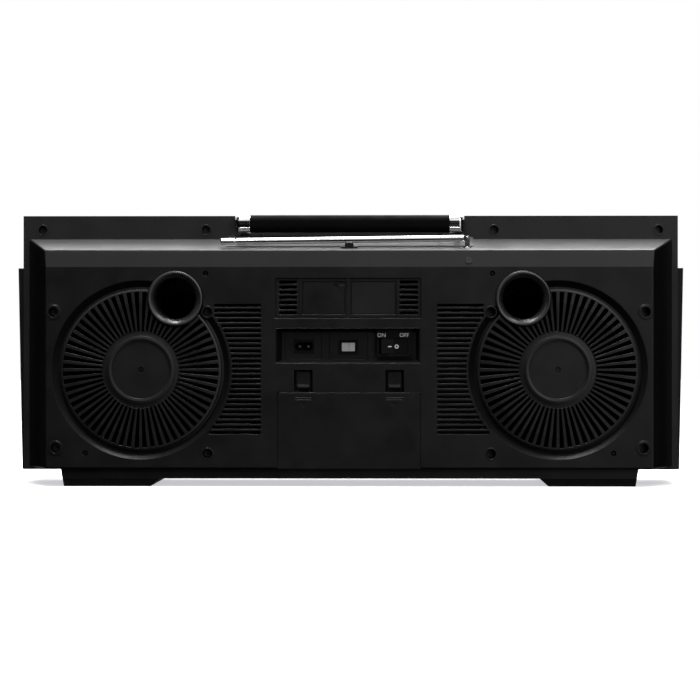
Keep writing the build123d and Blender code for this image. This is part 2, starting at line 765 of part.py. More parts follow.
def make_cassette_door():
    half, low, high = DECK
    door = block((-half + 2.6, half - 2.6), (-110.0, -106.0), (low + 4.5, high - 2.7))
    door = fillet(door.edges().filter_by(Axis.Y), 2.0)
    for side in SIDES.values():
        door += pin(mirrored_x((half - 4, half - 0.5), side), *DECK_DOOR_HINGE, DECK_PIN_RADIUS)
        door += block(mirrored_x((51.0, 53.0), side), (-107, -90), (70, 122))
    return door


def make_key(number):
    x = key_x(number)
    low, high = KEY_Z
    outline = [(-118, low + 1.5), (-118, high - 6), (-110, high), (-99, high), (-99, low), (-116.5, low)]
    return across(outline, (x - KEY_WIDTH / 2, x + KEY_WIDTH / 2))


# Handle and antenna


def make_handle_grip():
    start = Plane.YZ.offset(-GRIP_HALF_LENGTH)
    oval = Pos(FLANGE_Y + GRIP_DEPTH, HANDLE_PIVOT[1]) * RectangleRounded(*GRIP_SIZE, 6.6)
    return extrude(start * oval, 2 * GRIP_HALF_LENGTH, dir=(1, 0, 0))


def make_handle_arm(side):
    """A bar from its pivot pin to the fitting that holds the grip's end."""
    pivot_depth, z = HANDLE_PIVOT
    outer = side * ARM_OUTER
    oval = Pos(FLANGE_Y + GRIP_DEPTH, z) * RectangleRounded(*GRIP_SIZE, 6.4)
    fitting_length = ARM_OUTER - GRIP_HALF_LENGTH
    fitting = extrude(Plane.YZ.offset(outer) * oval, fitting_length, dir=(-side, 0, 0))
    outer_rim = fitting.edges().filter_by(lambda edge: abs(edge.center().X - outer) < 0.01)
    arm = fillet(outer_rim, 3.0)
    bar = mirrored_x((ARM_OUTER - 8, ARM_OUTER - 0.8), side)
    arm += block(bar, (pivot_depth, GRIP_DEPTH - 6), (z - 5.4, z + 5.4))
    arm += pin(bar, pivot_depth, z, 6.6)
    stub = mirrored_x((ARM_OUTER - 2, WELL_HALF + 2.7), side)
    return arm + pin(stub, pivot_depth, z, HANDLE_PIN_RADIUS)


def antenna_place():
    """Takes a shape drawn along +X from the origin to the antenna at rest."""
    pivot = Pos(ANTENNA_X, FLANGE_Y + ANTENNA_DEPTH, ANTENNA_Z)
    return pivot * Rot(0, 0, ANTENNA_SKEW) * Rot(0, ANTENNA_DIP, 0)


def level_tube(start, end, outer, inner):
    """A tube along +X, or a solid rod when inner is zero."""
    at = Pos((start + end) / 2, 0, 0) * Rot(0, 90, 0)
    tube = at * Cylinder(outer, end - start)
    return tube - at * Cylinder(inner, end - start) if inner else tube


def make_antenna_base():
    """The swivelling foot: a spigot, a disc and the fork that the rod tilts in."""
    x, depth = ANTENNA_X, ANTENNA_DEPTH
    foot = post(x, depth, (227, ANTENNA_SEAT_Z + 1), SWIVEL_RADIUS)
    foot += post(x, depth, (ANTENNA_SEAT_Z, ANTENNA_SEAT_Z + 1.4), SWIVEL_DISC_RADIUS)
    turn = Pos(x, FLANGE_Y + depth, ANTENNA_Z) * Rot(0, 0, ANTENNA_SKEW)
    rise = ANTENNA_Z - ANTENNA_SEAT_Z - 1
    fork = Pos(0, 0, -rise / 2) * Box(2 * FORK_HALF, 2 * (FORK_GAP + FORK_THICKNESS), rise)
    fork += Rot(90, 0, 0) * Cylinder(FORK_HALF, 2 * (FORK_GAP + FORK_THICKNESS))
    fork -= Box(20, 2 * FORK_GAP, 8.0)
    hinge_pin = Rot(90, 0, 0) * Cylinder(1.1, 2 * (FORK_GAP + FORK_THICKNESS) + 0.6)
    return foot + turn * (fork + hinge_pin)


def make_antenna_tube(number):
    """One telescoping section; the first carries the hinge tongue and the last the tip."""
    radius = TUBE_RADII[number]
    end = ANTENNA_OUTER_END + number
    last = number == len(TUBE_RADII) - 1
    tube = level_tube(TUBE_START + number, end, radius, 0 if last else radius - TUBE_WALL)
    if last:
        tip = level_tube(end, end + ANTENNA_TIP_LENGTH, TUBE_RADII[0], 0)
        tube += fillet(tip.edges().sort_by(Axis.X)[-1:], 1.5)
    if number == 0:
        tongue = Pos(2.4, 0, 0) * Box(4.8, 2 * FORK_GAP - 0.3, 4.4)
        tongue += Rot(90, 0, 0) * Cylinder(2.2, 2 * FORK_GAP - 0.3)
        tongue -= Rot(90, 0, 0) * Cylinder(1.1 + RUNNING_GAP, 8)
        tube += tongue + level_tube(4.0, TUBE_START + 0.5, radius, 0)
    return antenna_place() * tube


def make_antenna_clip():
    """The low saddle that the rod lies over at the middle."""
    near, far, top = PAD_DEPTH + 0.2, 49.0, 240.3
    under = [(near, SLOPE_START[1] - SLOPE * near), (far, SLOPE_START[1] - SLOPE * far)]
    saddle = across(under + [(far, top), (near, top)], (-4.2, 4.2))
    skirt = across(under + [(depth, z + 1.8) for depth, z in reversed(under)], (-8.3, 8.3))
    return saddle + skirt


def main():
    os.makedirs("parts", exist_ok=True)
    save("rear_cabinet", make_rear_cabinet())
    save("front_cabinet", make_front_cabinet())
    save("base_plate", make_base_plate())
    save("cabinet_screws", make_cabinet_screws())
    save("bright_screws", make_bright_screws())
    save("connector_panel", make_connector_panel())
    save("ac_inlet", make_ac_inlet())
    save("ac_inlet_pins", make_ac_inlet_pins())
    save("voltage_selector_body", make_voltage_selector_body())
    save("voltage_slider", make_voltage_slider())
    save("power_switch_housing", make_power_switch_housing())
    save("power_rocker", make_power_rocker())
    save("access_cover", make_access_cover())
    save("rating_plate", make_plate(PLATES[1]))
    save("battery_box", make_battery_box())
    save("battery_contacts", make_battery_contacts())
    save("battery_door", make_battery_door())
    save("main_circuit_board", make_main_circuit_board())
    save("power_transformer", make_power_transformer())
    save("control_panel", make_control_panel())
    save("dial_window", make_dial_window())
    save("dial_pointer", make_dial_pointer())
    save("cassette_deck", make_cassette_deck())
    save("cassette_door", make_cassette_door())
    save("handle_grip", make_handle_grip())
    save("antenna_base", make_antenna_base())
    save("antenna_clip", make_antenna_clip())
    for name, side in SIDES.items():
        save(f"side_cheek_{name}", make_side_cheek(side))
        save(f"foot_{name}", make_foot(side))
        save(f"rear_grille_{name}", make_rear_grille(side))
        save(f"bass_port_{name}", make_bass_port(side))
        save(f"battery_latch_{name}", make_battery_latch(side))
        save(f"woofer_frame_{name}", make_woofer_frame(side))
        save(f"woofer_cone_{name}", make_woofer_cone(side))
        save(f"tweeter_{name}", make_tweeter(side))
        save(f"speaker_grille_{name}", make_speaker_grille(side))
        save(f"handle_arm_{name}", make_handle_arm(side))
    for name, (x, radius) in KNOBS.items():
        save(name, make_knob(x, radius))
    for number, name in enumerate(KEY_NAMES):
        save(f"key_{name}", make_key(number))
    for number in range(len(TUBE_RADII)):
        save(f"antenna_tube_{number + 1}", make_antenna_tube(number))


main()
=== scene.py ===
import json
import math
from functools import lru_cache

import bmesh
import bpy
from mathutils import Matrix, Vector
from mathutils.bvhtree import BVHTree


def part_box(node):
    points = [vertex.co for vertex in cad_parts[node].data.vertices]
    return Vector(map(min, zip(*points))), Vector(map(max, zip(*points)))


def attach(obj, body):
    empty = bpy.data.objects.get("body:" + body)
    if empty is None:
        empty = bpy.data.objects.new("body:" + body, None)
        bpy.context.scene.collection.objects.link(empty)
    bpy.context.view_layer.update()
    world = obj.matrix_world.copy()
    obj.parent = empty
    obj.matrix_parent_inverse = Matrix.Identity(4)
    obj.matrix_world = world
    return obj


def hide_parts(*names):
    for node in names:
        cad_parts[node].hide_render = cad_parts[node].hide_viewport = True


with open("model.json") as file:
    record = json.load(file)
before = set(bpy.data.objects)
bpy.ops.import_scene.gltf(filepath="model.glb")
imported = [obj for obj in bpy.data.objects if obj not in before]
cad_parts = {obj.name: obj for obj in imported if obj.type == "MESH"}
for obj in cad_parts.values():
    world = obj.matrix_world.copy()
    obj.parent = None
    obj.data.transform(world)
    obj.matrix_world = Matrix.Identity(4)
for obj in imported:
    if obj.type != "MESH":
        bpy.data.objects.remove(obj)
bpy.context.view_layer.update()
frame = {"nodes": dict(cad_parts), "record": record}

# A black portable stereo, seen straight from behind on a white sweep.
# Metres. +Z is up, +Y points out of the back, +X is to the left of that view.

RECORD = frame["record"]
NODES = frame["nodes"]
MM = 0.001

# Camera
CAMERA_AT = Vector((-0.045, 2.63, 0.135))
CAMERA_AIM = Vector((0.0, 0.03, 0.135))
LENS_MM = 132.6
SENSOR_MM = 36.0

# Strengths of the light panels round the stage
CEILING_LIGHT = 1.2
FAR_LIGHT = 6.0
FRONT_LIGHT = 0.5
BACK_LIGHT = (0.0, 0.9)
REAR_FILL = 1.0
FLOOR_GLOW = 0.55
FLOOR_HALF = 9.0

# Softboxes: place, aim, size and power in watts
SOFTBOXES = {
    "front_softbox": ((-0.2, -0.75, 1.4), (0.0, 0.0, 0.15), (1.8, 0.5), 16),
    "overhead_softbox": ((-0.1, 0.12, 1.5), (0.0, 0.06, 0.2), (2.0, 0.3), 50),
    "key_softbox": ((-0.9, 1.5, 1.9), (0.0, 0.05, 0.15), (0.8, 0.4), 10),
    "side_softbox": ((-1.1, 2.9, 1.1), (0.0, 0.05, 0.15), (0.8, 1.2), 4),
}

# Finish of the mouldings: grain, rounded edges, a paler flange, and painted overhead light on the top slope
GRAIN_SCALE = 1500.0
EDGE_RADIUS = 0.5 * MM
FLANGE_Y = 30.0 * MM
FLANGE_TONE = 0.012
# Painted light: the pale tone that stands in for the overhead light falling on the top slope
SLOPE_PAINTED_LIGHT = 0.06
SLOPE_FOOT_Z = 233.0 * MM
NO_TINT = (1.0, 1.0, 1.0)

# Detail pieces
MERGE_DISTANCE = 0.001 * MM
AXIS_RADIUS = 0.02 * MM
INK_HEIGHT = 0.08 * MM
INK_SINK = 0.05 * MM
CAP_SHARE = 0.7
SIDES = {"left": 1, "right": -1}

# Power switch: each word's name, text and shift from the housing's middle in millimetres
SWITCH_WORDS = (("switch_word_on", "ON", 12.6), ("switch_word_off", "OFF", -9.8))
DASH_SIZE = (3.6 * MM, 0.9 * MM)
RING_RADII = (2.0 * MM, 1.1 * MM)

# Handle
EAR_INNER_X = 113.05 * MM
EAR_THICKNESS = 1.6 * MM
STOP_SIZE = (3.6 * MM, 5.8 * MM)

# Battery contacts
CONTACT_WIDTH = 14.0 * MM
NUB_RADIUS = 3.0 * MM
COIL_LENGTH = 5.6 * MM
COIL_RADII = (5.6 * MM, 3.2 * MM)
WIRE_RADIUS = 0.45 * MM

# Speaker covers; the profiles are millimetres out from the edge and back from the front
HOLE_PITCH = 4.6 * MM
HOLE_SHARE = 0.37
CELL_POINTS = 12
COVER_RADIUS = 77.0 * MM
DOME_RADII = (45.0, 80.0)
RING_PROFILE = [(-13.0, 4.2), (-12.6, 1.6), (-11.6, 0.9), (-9.5, 0.7), (-4.0, 1.9), (-1.0, 3.6), (0.0, 4.8)]
INLAY_PROFILE = [(-9.2, 0.9), (-9.0, 0.45), (-8.0, 0.6), (-7.8, 1.1)]

# Knobs
KNOB_WORDS = {"volume_knob": "VOLUME", "tone_knob": "TONE", "tuning_knob": "TUNING"}
KNOB_FLUTES = 36
FLUTE_DEPTH = 0.55 * MM
CAP_RING_PITCH = 1.5 * MM
SKIRT_BACK = -81.1 * MM
SHAFT_RADIUS = 3.0 * MM

# Front panel and dial; the profiles are millimetres out from the middle and back from the panel
PILOT_AT = (-170.0 * MM, 239.5 * MM)
BEZEL_PROFILE = [(2.6, 0.3), (2.6, -0.8), (2.2, -1.0), (1.9, -0.8), (1.9, 0.3)]
LENS_PROFILE = [(0.0, -1.3), (0.8, -1.15), (1.5, -0.7), (1.85, 0.0), (1.85, 0.3), (0.0, 0.3)]
SCALE_START = -62.0 * MM
SCALE_LENGTH = 124.0 * MM
SCALE_TICKS = 50
DIAL_NUMBERS = {
    "fm": ("88", "92", "96", "100", "104", "108"),
    "am": ("53", "60", "80", "100", "130", "160"),
}

# Cassette bay; the profiles are millimetres out from the pane or the axis, and back
PANE_CORNER = 3.0 * MM
FRAME_PROFILE = [(1.6, 0.15), (1.5, -0.55), (0.4, -0.65), (0.1, -0.35), (0.1, 0.15)]
SPINDLE_X = 21.0 * MM
SPINDLE_Z = 112.0 * MM
SPINDLE_FRONT = -58.0 * MM
SPINDLE_PROFILE = [(0.0, 0.0), (2.2, 0.0), (2.6, 1.0), (3.4, 1.4), (3.4, 7.5), (0.0, 7.5)]


# Node helpers


class Surface:
    """A material under construction: a node tree that ends in one principled shader."""

    def __init__(self, name):
        self.material = bpy.data.materials.new(name)
        self.material.use_nodes = True
        self.tree = self.material.node_tree
        self.tree.nodes.clear()
        output = self.tree.nodes.new("ShaderNodeOutputMaterial")
        self.shader = self.tree.nodes.new("ShaderNodeBsdfPrincipled")
        self.tree.links.new(self.shader.outputs[0], output.inputs[0])
        self.place = self.add("ShaderNodeTexCoord").outputs["Object"]

    def add(self, kind, inputs=None, **settings):
        """A new node with its settings and inputs filled in."""
        node = self.tree.nodes.new(kind)
        for key, value in settings.items():
            setattr(node, key, value)
        for key, value in (inputs or {}).items():
            self.plug(node.inputs[key], value)
        return node

    def plug(self, socket, value):
        """Links a node's output to a socket, or sets the socket to a plain value."""
        if isinstance(value, bpy.types.NodeSocket):
            self.tree.links.new(value, socket)
        else:
            socket.default_value = value

    def set(self, **values):
        """Fills inputs of the principled shader, named with _ for a space."""
        for key, value in values.items():
            self.plug(self.shader.inputs[key.replace("_", " ")], value)

    def noise(self, scale, detail=2.0, roughness=0.5, place=None):
        inputs = {"Vector": place or self.place, "Scale": scale, "Detail": detail, "Roughness": roughness}
        return self.add("ShaderNodeTexNoise", inputs).outputs["Fac"]

    def spread(self, value, low, high, start=0.3, end=0.7):
        """Maps a value from start..end to low..high."""
        inputs = {"Value": value, "From Min": start, "From Max": end, "To Min": low, "To Max": high}
        return self.add("ShaderNodeMapRange", inputs).outputs["Result"]

    def math(self, operation, first, second):
        node = self.add("ShaderNodeMath", operation=operation)
        self.plug(node.inputs[0], first)
        self.plug(node.inputs[1], second)
        return node.outputs[0]

    def blend(self, factor, first, second):
        """A colour between first and second."""
        node = self.add("ShaderNodeMix", data_type="RGBA")
        self.plug(node.inputs["Factor"], factor)
        self.plug(node.inputs[6], first)
        self.plug(node.inputs[7], second)
        return node.outputs[2]

    def stretched(self, scale):
        """Object coordinates scaled along each axis."""
        inputs = {"Vector": self.place, "Scale": scale}
        return self.add("ShaderNodeMapping", inputs).outputs["Vector"]

    def soft_edges(self, radius):
        """The surface normal with its edges rounded by radius."""
        return self.add("ShaderNodeBevel", {"Radius": radius}, samples=4).outputs["Normal"]

    def edge_mask(self, normal):
        """One at a worn edge and zero on a flat, broken up by noise."""
        flat = self.add("ShaderNodeNewGeometry").outputs["Normal"]
        node = self.add("ShaderNodeVectorMath", operation="DOT_PRODUCT")
        self.plug(node.inputs[0], normal)
        self.plug(node.inputs[1], flat)
        bend = self.spread(node.outputs["Value"], 1.0, 0.0, 0.75, 0.985)
        return self.math("MULTIPLY", bend, self.spread(self.noise(90.0, 4.0), 0.0, 1.0, 0.4, 0.62))

    def bump(self, height, distance, normal=None, strength=1.0):
        inputs = {"Height": height, "Distance": distance, "Strength": strength}
        if normal is not None:
            inputs["Normal"] = normal
        return self.add("ShaderNodeBump", inputs).outputs["Normal"]


def grey(value):
    """A grey that leans a little to blue."""
    return (value, value, value * 1.03, 1.0)


def tinted(value, tint):
    return (value * tint[0], value * tint[1], value * tint[2], 1.0)


def moulded(name, tone, rough, grain=1.0, wear=0.5, coat=0.0, gloss=0.5, ior=1.5, tint=NO_TINT, dress=None):
    """Grained moulded plastic with rounded, slightly polished edges and faint handling marks."""
    s = Surface(name)
    normal = s.soft_edges(EDGE_RADIUS)
    worn = s.math("MULTIPLY", s.edge_mask(normal), wear)
    mottle = s.spread(s.noise(14.0, 5.0), 0.0, 1.0)
    base = s.blend(mottle, tinted(tone * 0.86, tint), tinted(tone * 1.14, tint))
    base = dress(s, base) if dress else base
    s.set(Base_Color=s.blend(worn, base, tinted(tone * 2.0 + 0.006, tint)))
    smudge = s.spread(s.noise(38.0, 6.0, 0.6), rough - 0.05, rough + 0.06)
    s.set(Roughness=s.math("SUBTRACT", smudge, s.math("MULTIPLY", worn, 0.12)))
    pebbles = s.noise(GRAIN_SCALE, 3.0, 0.62)
    waves = s.noise(60.0, 2.0)
    surface = s.bump(waves, 0.00006, normal, 0.5)
    s.set(Normal=s.bump(pebbles, 0.00004 * grain, surface))
    s.set(Coat_Weight=coat, Specular_IOR_Level=gloss, IOR=ior)
    return s.material


def pale_flange_and_painted_slope_light(s, base):
    """Makes the flange's back plane a paler tone, and paints overhead light onto the up-facing slope behind
    it, made uneven by a dust-like noise.
    """
    _, depth, height = s.add("ShaderNodeSeparateXYZ", {"Vector": s.place}).outputs
    flange = s.spread(depth, 1.0, 0.0, FLANGE_Y + 0.4 * MM, FLANGE_Y + 1.4 * MM)
    base = s.blend(flange, base, grey(FLANGE_TONE))
    # Painted light: up-facing faces above the slope's foot and behind the flange are lightened towards a pale
    # grey as if lit from overhead, with a dust-like noise making it uneven
    normal = s.add("ShaderNodeNewGeometry").outputs["Normal"]
    facing_up = s.add("ShaderNodeSeparateXYZ", {"Vector": normal}).outputs["Z"]
    level = s.spread(facing_up, 0.0, 1.0, 0.9, 0.95)
    top = s.math("MULTIPLY", level, s.spread(height, 0.0, 1.0, SLOPE_FOOT_Z, SLOPE_FOOT_Z + 1.0 * MM))
    slope = s.math("MULTIPLY", top, s.spread(depth, 0.0, 1.0, FLANGE_Y, FLANGE_Y + 0.4 * MM))
    dust_and_painted_light = s.spread(s.noise(30.0, 5.0, 0.6), 0.85, 1.0)
    return s.blend(s.math("MULTIPLY", slope, dust_and_painted_light), base, grey(SLOPE_PAINTED_LIGHT))


def rubbery(name, tone, rough, ior):
    """Dull rubber with a fine pebble and a dusting of grey."""
    s = Surface(name)
    normal = s.soft_edges(0.8 * MM)
    dust_and_painted_light = s.spread(s.noise(45.0, 6.0, 0.65), 0.0, 0.35, 0.5, 0.75)
    s.set(Base_Color=s.blend(dust_and_painted_light, grey(tone), grey(tone * 2.2)))
    s.set(Roughness=s.spread(s.noise(70.0, 4.0), rough - 0.06, rough + 0.08), IOR=ior)
    s.set(Normal=s.bump(s.noise(900.0, 3.0), 0.00005, normal))
    return s.material


def polished(name, colour, rough):
    """Bright plated metal with faint hairlines and fingerprints."""
    s = Surface(name)
    s.set(Metallic=1.0)
    haze = s.noise(55.0, 5.0, 0.6)
    dulled = tuple(0.86 * part for part in colour)
    s.set(Base_Color=s.blend(s.spread(haze, 0.0, 1.0, 0.42, 0.68), (*colour, 1), (*dulled, 1)))
    hairlines = s.noise(700.0, 2.0, place=s.stretched((0.06, 1.0, 1.0)))
    marks = s.spread(hairlines, rough, rough + 0.07, 0.45, 0.7)
    s.set(Roughness=s.math("ADD", marks, s.spread(haze, 0.0, 0.05)))
    s.set(Normal=s.bump(hairlines, 0.000004, s.soft_edges(0.35 * MM)))
    return s.material


def brushed(name, colour, rough, along="X"):
    """Metal brushed along one axis."""
    s = Surface(name)
    s.set(Metallic=1.0)
    scale = {"X": (0.02, 1.0, 1.0), "Z": (1.0, 1.0, 0.02)}[along]
    lines = s.noise(2400.0, 3.0, 0.7, place=s.stretched(scale))
    darker = tuple(0.78 * part for part in colour)
    s.set(Base_Color=s.blend(s.spread(lines, 0.0, 1.0, 0.35, 0.65), (*colour, 1), (*darker, 1)))
    s.set(Roughness=s.spread(lines, rough - 0.06, rough + 0.1, 0.3, 0.7))
    s.set(Normal=s.bump(lines, 0.00002, s.soft_edges(0.4 * MM)))
    return s.material


def turned_metal(name, colour, rough):
    """Blackened or plated turned steel, with tool marks and rubbed high spots."""
    s = Surface(name)
    s.set(Metallic=1.0)
    normal = s.soft_edges(0.25 * MM)
    worn = s.edge_mask(normal)
    lighter = tuple(min(1.0, 2.4 * part + 0.05) for part in colour)
    s.set(Base_Color=s.blend(worn, (*colour, 1), (*lighter, 1)))
    s.set(Roughness=s.spread(s.noise(420.0, 4.0), rough - 0.08, rough + 0.1))
    s.set(Normal=s.bump(s.noise(1600.0, 2.0), 0.00002, normal))
    return s.material


def pulp(name):
    """Pressed paper cone with fibres and moulded rings."""
    s = Surface(name)
    fibres = s.noise(900.0, 6.0, 0.75)
    s.set(Base_Color=s.blend(s.spread(fibres, 0.0, 1.0, 0.4, 0.65), grey(0.018), grey(0.05)))
    s.set(Roughness=s.spread(fibres, 0.72, 0.92), Sheen_Weight=0.15)
    s.set(Normal=s.bump(fibres, 0.00015))
    return s.material


def laminate(name):
    """Green board with tracks under the lacquer."""
    s = Surface(name)
    place = s.stretched((1.0, 0.0, 1.0))
    cells = s.add("ShaderNodeTexBrick", {"Vector": place, "Scale": 60.0})
    tracks = s.spread(cells.outputs["Fac"], 0.0, 1.0, 0.4, 0.6)
    # Painted shade: the board's green is darkened nearly to black, standing in for the shade inside the
    # cabinet
    s.set(Base_Color=s.blend(tracks, (0.001, 0.006, 0.003, 1), (0.002, 0.012, 0.005, 1)))
    s.set(Specular_IOR_Level=0.1)
    s.set(Roughness=s.spread(s.noise(80.0), 0.25, 0.42))
    s.set(Normal=s.bump(tracks, 0.00008))
    return s.material


def clear(name, tint):
    """Clear moulded window with faint polishing marks."""
    s = Surface(name)
    s.set(Base_Color=tint, Transmission_Weight=1.0, IOR=1.49)
    s.set(Roughness=s.spread(s.noise(60.0, 5.0), 0.03, 0.09, 0.45, 0.7))
    s.set(Normal=s.bump(s.noise(220.0, 2.0), 0.000006))
    return s.material


def printed(name, colour):
    """Matt printed ink with a slightly uneven edge of colour."""
    s = Surface(name)
    faded = tuple(0.8 * part for part in colour)
    s.set(Base_Color=s.blend(s.spread(s.noise(500.0, 4.0), 0.0, 1.0), (*colour, 1), (*faded, 1)))
    s.set(Roughness=s.spread(s.noise(200.0), 0.45, 0.6))
    s.set(Normal=s.bump(s.noise(1500.0), 0.00001))
    return s.material


FINISHES = {
    # The cabinet wears a paler flange and painted overhead light on its top slope
    "cabinet_plastic": lambda n: moulded(n, 0.004, 0.33, gloss=0.3, dress=pale_flange_and_painted_slope_light),
    "trim_plastic": lambda n: moulded(n, 0.004, 0.38, gloss=0.2),
    "grille_plastic": lambda n: moulded(n, 0.006, 0.34, 0.7, gloss=0.32),
    "port_plastic": lambda n: moulded(n, 0.010, 0.27, 0.6, gloss=0.6),
    "foot_rubber": lambda n: rubbery(n, 0.002, 0.75, 1.25),
    "black_steel": lambda n: turned_metal(n, (0.05, 0.05, 0.052), 0.42),
    "zinc_steel": lambda n: turned_metal(n, (0.045, 0.045, 0.047), 0.3),
    "plate_plastic": lambda n: moulded(n, 0.006, 0.36, 0.5, gloss=0.3),
    "plated_brass": lambda n: polished(n, (0.16, 0.145, 0.11), 0.34),
    "white_plastic": lambda n: moulded(n, 0.42, 0.35, 0.3, 0.2),
    "gloss_black": lambda n: moulded(n, 0.003, 0.24, 0.3, 0.2, gloss=0.4),
    "inner_plastic": lambda n: moulded(n, 0.008, 0.5, 1.2, gloss=0.3),
    "circuit_board": laminate,
    # Painted shade: the transformer's steel is darkened nearly to black, standing in for the shade inside the
    # cabinet
    "transformer_steel": lambda n: turned_metal(n, (0.01, 0.01, 0.009), 0.6),
    "woofer_metal": lambda n: turned_metal(n, (0.012, 0.012, 0.013), 0.55),
    "cone_paper": pulp,
    "tweeter_plastic": lambda n: moulded(n, 0.012, 0.3, 0.5),
    "grille_metal": lambda n: turned_metal(n, (0.035, 0.035, 0.037), 0.45),
    "panel_aluminium": lambda n: brushed(n, (0.12, 0.12, 0.125), 0.34),
    "clear_window": lambda n: clear(n, (0.9, 0.93, 0.95, 1)),
    "pointer_red": lambda n: moulded(n, 0.8, 0.3, 0.2, 0.0, tint=(1.0, 0.1, 0.04)),
    "knob_metal": lambda n: brushed(n, (0.5, 0.5, 0.51), 0.26, "Z"),
    "grip_rubber": lambda n: rubbery(n, 0.001, 0.6, 1.12),
    "chrome": lambda n: polished(n, (0.86, 0.86, 0.87), 0.07),
    "socket_plastic": lambda n: moulded(n, 0.0012, 0.45, ior=1.2),
}

# Finishes of detail pieces that no CAD node wears
EXTRA_FINISHES = {
    "white_ink": lambda n: printed(n, (0.75, 0.75, 0.74)),
    "dial_print": lambda n: printed(n, (0.012, 0.012, 0.014)),
    "smoked_pane": lambda n: moulded(n, 0.003, 0.08, 0.05, 0.0, coat=1.0),
}


def dress_cad_nodes():
    """Makes every finish and gives each CAD node the one of its own slot."""
    made = {slot: finish(slot) for slot, finish in {**FINISHES, **EXTRA_FINISHES}.items()}
    for entry in RECORD["subparts"]:
        node = NODES[entry["node"]]
        node.data.materials.clear()
        node.data.materials.append(made[entry["material_slot"]])
    return made


# Mesh helpers


def set_piece(name, shape, made, look, body, smooth=True):
    """Turns a built shape into a piece that wears a look and rides on a body."""
    bmesh.ops.remove_doubles(shape, verts=shape.verts, dist=MERGE_DISTANCE)
    bmesh.ops.recalc_face_normals(shape, faces=shape.faces)
    mesh = bpy.data.meshes.new(name)
    shape.to_mesh(mesh)
    shape.free()
    if smooth:
        mesh.shade_smooth()
        mesh.set_sharp_from_angle(angle=math.radians(35))
    mesh.materials.append(made[look])
    piece = bpy.data.objects.new(name, mesh)
    bpy.context.scene.collection.objects.link(piece)
    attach(piece, body)
    return piece


def centre_of(low, high):
    """The middle of a box as (x, z), the way the front and back show it."""
    return ((low[0] + high[0]) / 2, (low[2] + high[2]) / 2)


def about(middle, half):
    """A pair that reaches half to each side of the middle."""
    return (middle - half, middle + half)


def widened(pair, margin):
    return (pair[0] - margin, pair[1] + margin)


def offset_points(origin, offsets):
    """Points at offsets, given in millimetres, from an origin."""
    return [(origin[0] + first * MM, origin[1] + second * MM) for first, second in offsets]


def circle(centre, radius, y, count, flutes=0, flute_depth=0.0):
    """Points on a circle about a front-to-back line, drawn in and out by flutes."""
    points = []
    for step in range(count):
        angle = 2 * math.pi * step / count
        reach = radius - flute_depth * (0.5 + 0.5 * math.cos(flutes * angle))
        points.append((centre[0] + reach * math.cos(angle), y, centre[1] + reach * math.sin(angle)))
    return points


def skin_loops(shape, loops, closed=False):
    """Faces between one loop of points and the next."""
    rows = [[shape.verts.new(point) for point in loop] for loop in loops]
    following = rows[1:] + rows[:1] if closed else rows[1:]
    for first, second in zip(rows, following):
        for step in range(len(first)):
            after = (step + 1) % len(first)
            shape.faces.new((first[step], first[after], second[after], second[step]))
    return rows


def turned_shape(profile, centre, count=96, flutes=0, flute_depth=0.0, fluted=()):
    """A closed (radius, y) outline turned about the front-to-back line through centre."""
    shape = bmesh.new()
    loops = []
    for number, (radius, y) in enumerate(profile):
        deep = flute_depth if number in fluted else 0.0
        loops.append(circle(centre, max(radius, AXIS_RADIUS), y, count, flutes, deep))
    skin_loops(shape, loops, closed=True)
    return shape


def close_prism(shape, ends):
    """Faces over two matching outlines of vertices, and the walls between them."""
    shape.faces.new(ends[0])
    shape.faces.new(ends[1][::-1])
    for step in range(len(ends[0])):
        after = (step + 1) % len(ends[0])
        shape.faces.new((ends[0][step], ends[0][after], ends[1][after], ends[1][step]))


def add_prism(shape, points, low, high, place):
    """A closed prism of plane points between low and high, which place maps to space."""
    ends = [[shape.verts.new(place(a, b, end)) for a, b in points] for end in (low, high)]
    close_prism(shape, ends)


def front_place(x, z, y):
    """Stands a plane's points upright, facing front and back."""
    return (x, y, z)


def side_place(y, z, x):
    """Stands a plane's points upright, facing left and right."""
    return (x, y, z)


def box_points(across, up):
    return [(across[0], up[0]), (across[1], up[0]), (across[1], up[1]), (across[0], up[1])]


def rounded_points(across, up, radius, steps=6):
    """A rectangle with rounded corners."""
    points = []
    corners = [(across[1], up[1]), (across[0], up[1]), (across[0], up[0]), (across[1], up[0])]
    for quarter, (x, z) in enumerate(corners):
        centre_x = x - math.copysign(radius, x - sum(across) / 2)
        centre_z = z - math.copysign(radius, z - sum(up) / 2)
        for step in range(steps + 1):
            angle = math.pi / 2 * (quarter + step / steps)
            points.append((centre_x + radius * math.cos(angle), centre_z + radius * math.sin(angle)))
    return points


def soften(shape, offset):
    """Rounds every sharp edge of a prism."""
    sharp = [edge for edge in shape.edges if edge.calc_face_angle(0) > math.radians(50)]
    bmesh.ops.bevel(shape, geom=sharp, offset=offset, segments=2, affect="EDGES", clamp_overlap=True)


@lru_cache(maxsize=None)
def surface_tree(node):
    """The surface of a CAD node, ready to be asked where a line meets it."""
    mesh = NODES[node].data
    faces = [tuple(polygon.vertices) for polygon in mesh.polygons]
    return BVHTree.FromPolygons([vertex.co for vertex in mesh.vertices], faces)


def surface_y(node, x, z, out):
    """Where a node is first met from outside: out is 1 for the back and -1 for the front."""
    hit = surface_tree(node).ray_cast(Vector((x, out, z)), Vector((0, -out, 0)))[0]
    return hit.y


def add_mark(name, polygons, node, out, made, look, body):
    """Thin printed shapes, given as (x, z) polygons, that hug the surface of a node."""
    shape = bmesh.new()
    lifts = (-INK_SINK, INK_HEIGHT)
    for polygon in polygons:
        points = [(x, surface_y(node, x, z, out), z) for x, z in polygon]
        ends = [[shape.verts.new((x, y + out * lift, z)) for x, y, z in points] for lift in lifts]
        close_prism(shape, ends)
    set_piece(name, shape, made, look, body, smooth=False)


def disc_points(centre, radius, count=28):
    return [(x, z) for x, _, z in circle(centre, radius, 0.0, count)]


